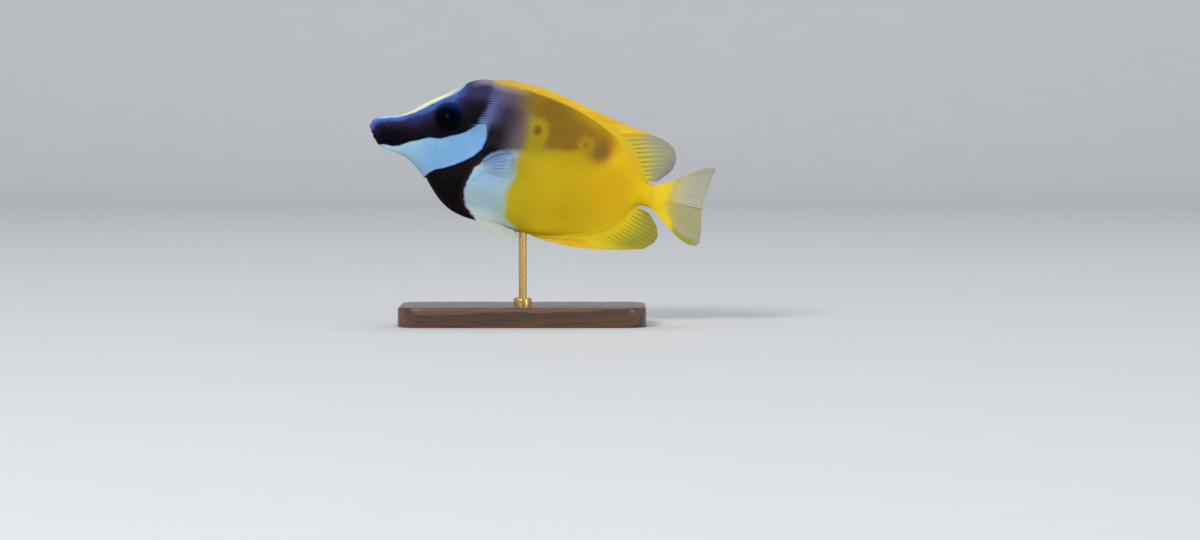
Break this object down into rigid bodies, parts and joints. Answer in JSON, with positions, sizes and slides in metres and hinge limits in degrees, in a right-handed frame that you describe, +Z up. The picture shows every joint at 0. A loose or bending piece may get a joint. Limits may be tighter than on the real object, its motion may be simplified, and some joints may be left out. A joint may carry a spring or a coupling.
{
  "type": "mounted foxface rabbitfish model",
  "caption": "Life-size still model of a foxface rabbitfish swimming nose-up, with a tubular snout, folded spines and a spread tail fin, held by a rod on a flat base.",
  "frame": {"origin": "the middle of the flat underside of the stand's base", "axes": "+Z up, -X the way the fish faces, +X towards its tail fin, -Y its left side, which the picture shows"},
  "size_m": [0.1749, 0.062, 0.1233],
  "materials": {
    "head_skin": "satin",
    "body_skin": "satin",
    "eye": "gloss",
    "fin": "satin",
    "base_wood": "satin",
    "rod_brass": "polished"
  },
  "bodies": {
    "root": {"head": "head_skin", "torso": "body_skin", "tail": "body_skin", "eye_left": "eye", "eye_right": "eye", "dorsal_fin": "fin", "anal_fin": "fin", "caudal_fin": "fin", "pectoral_fin_left": "fin", "pectoral_fin_right": "fin", "pelvic_fin_left": "fin", "pelvic_fin_right": "fin", "stand_base": "base_wood", "stand_rod": "rod_brass", "stand_collar": "rod_brass"}
  },
  "joints": []
}
